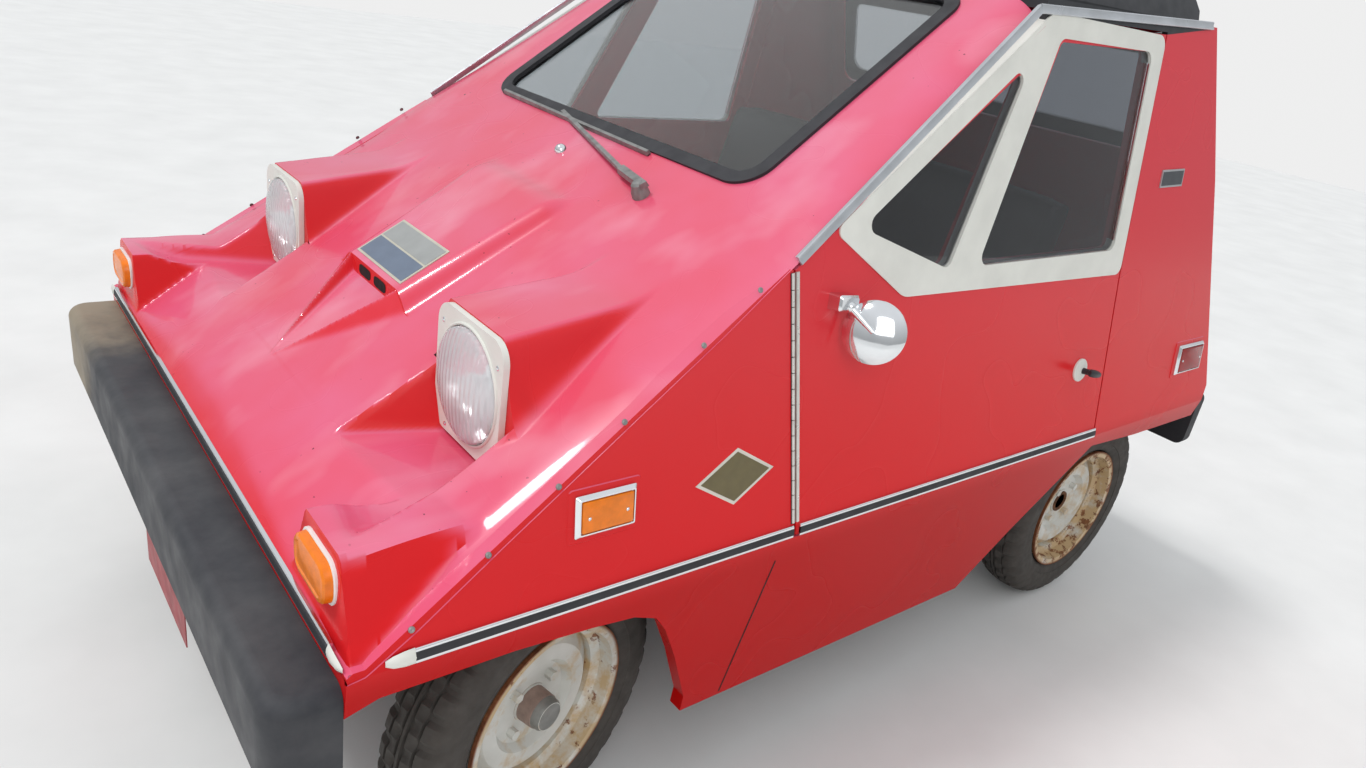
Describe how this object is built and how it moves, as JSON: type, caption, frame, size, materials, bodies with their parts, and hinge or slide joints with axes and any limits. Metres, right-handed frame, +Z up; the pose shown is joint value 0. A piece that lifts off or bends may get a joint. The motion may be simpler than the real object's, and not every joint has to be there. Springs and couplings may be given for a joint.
{
  "type": "four wheeled electric microcar",
  "caption": "Small wedge shaped two seat electric car with opening doors and rear hatch, rolling and steering wheels.",
  "frame": {"origin": "on the floor, at the middle of the overall length and width", "axes": "+X forward, +Y to the left side of the car, +Z up"},
  "size_m": [2.413, 1.5188, 1.492],
  "materials": {
    "red_body": "glossy, sun faded in places",
    "cream_frame": "glossy, aged",
    "black_plastic": "satin",
    "black_rubber": "matte, faded at one end",
    "clear_glass": "clear",
    "tinted_glass": "dark tint",
    "lamp_glass": "fluted",
    "amber_lens": "moulded lens",
    "red_lens": "moulded lens",
    "grey_metal": "worn",
    "plate": "plain, blank",
    "frame_metal": "dusty black",
    "battery_case": "matte",
    "seat_vinyl": "grained vinyl",
    "chrome": "polished",
    "tyre_rubber": "dusty",
    "cream_steel": "cream paint with rust"
  },
  "bodies": {
    "car": {"battery_pack": "battery_case", "chassis_front": "frame_metal", "chassis_middle": "frame_metal", "chassis_rear": "frame_metal", "dashboard": "black_plastic", "drive_motor": "frame_metal", "fenders": "red_body", "floor_pan": "black_plastic", "front_axle": "frame_metal", "front_bumper": "black_rubber", "front_panel": "red_body", "headlamp_bezels": "cream_frame", "headlamps": "lamp_glass", "indicator_lamps": "amber_lens", "licence_plates": "plate", "nose_panel": "red_body", "quarter_panels": "red_body", "rear_axle": "frame_metal", "rear_bumper": "black_rubber", "roof_panel": "black_plastic", "seat": "seat_vinyl", "sills": "red_body", "tail_lamps": "red_lens", "tail_panel": "red_body", "windscreen": "clear_glass", "windscreen_gasket": "black_rubber", "wiper": "grey_metal"},
    "door_left": {"door_fittings_left": "chrome", "door_glass_left": "tinted_glass", "door_panel_left": "red_body", "window_frame_left": "cream_frame"},
    "door_right": {"door_fittings_right": "chrome", "door_glass_right": "tinted_glass", "door_panel_right": "red_body", "window_frame_right": "cream_frame"},
    "hatch": {"hatch_frame": "black_plastic", "hatch_glass": "tinted_glass"},
    "knuckle_left": {"knuckle_left": "frame_metal"},
    "knuckle_right": {"knuckle_right": "frame_metal"},
    "wheel_front_left": {"rim_front_left": "cream_steel", "tyre_front_left": "tyre_rubber"},
    "wheel_front_right": {"rim_front_right": "cream_steel", "tyre_front_right": "tyre_rubber"},
    "wheel_rear_left": {"rim_rear_left": "cream_steel", "tyre_rear_left": "tyre_rubber"},
    "wheel_rear_right": {"rim_rear_right": "cream_steel", "tyre_rear_right": "tyre_rubber"},
    "steering_wheel": {"steering_wheel": "black_plastic"}
  },
  "joints": [
    {"name": "steer_left", "type": "hinge", "parent": "car", "child": "knuckle_left", "pos_m": [0.779, 0.471, 0.262], "axis": [0, 0, 1], "range_deg": [-42.4, 13.6]},
    {"name": "roll_front_left", "type": "hinge", "parent": "knuckle_left", "child": "wheel_front_left", "pos_m": [0.76035, 0.54364, 0.262], "axis": [-0.2487, 0.9686, 0], "continuous": true},
    {"name": "roll_rear_left", "type": "hinge", "parent": "car", "child": "wheel_rear_left", "pos_m": [-0.821, 0.559, 0.262], "axis": [0, 1, 0], "continuous": true},
    {"name": "door_left_open", "type": "hinge", "parent": "car", "child": "door_left", "pos_m": [0.37283, 0.69762, 0.572], "axis": [0.1312, -0.144, 0.9808], "range_deg": [-65, 0]},
    {"name": "steer_right", "type": "hinge", "parent": "car", "child": "knuckle_right", "pos_m": [0.779, -0.471, 0.262], "axis": [0, 0, 1], "range_deg": [-42.4, 13.6]},
    {"name": "roll_front_right", "type": "hinge", "parent": "knuckle_right", "child": "wheel_front_right", "pos_m": [0.79765, -0.54364, 0.262], "axis": [-0.2487, 0.9686, 0], "continuous": true},
    {"name": "roll_rear_right", "type": "hinge", "parent": "car", "child": "wheel_rear_right", "pos_m": [-0.821, -0.559, 0.262], "axis": [0, 1, 0], "continuous": true},
    {"name": "door_right_open", "type": "hinge", "parent": "car", "child": "door_right", "pos_m": [0.37283, -0.69762, 0.572], "axis": [0.1312, 0.144, 0.9808], "range_deg": [0, 65]},
    {"name": "hatch_open", "type": "hinge", "parent": "car", "child": "hatch", "pos_m": [-0.78588, 0, 1.40627], "axis": [0, 1, 0], "range_deg": [0, 70]},
    {"name": "steering_wheel_turn", "type": "hinge", "parent": "car", "child": "steering_wheel", "pos_m": [0.1725, 0.29, 0.88], "axis": [-0.8829, 0, 0.4695], "range_deg": [-339.2, 108.8]}
  ],
  "couplings": [
    {"joint": "steer_right", "follows": "steer_left", "ratio": 1},
    {"joint": "steering_wheel_turn", "follows": "steer_left", "ratio": 8}
  ]
}
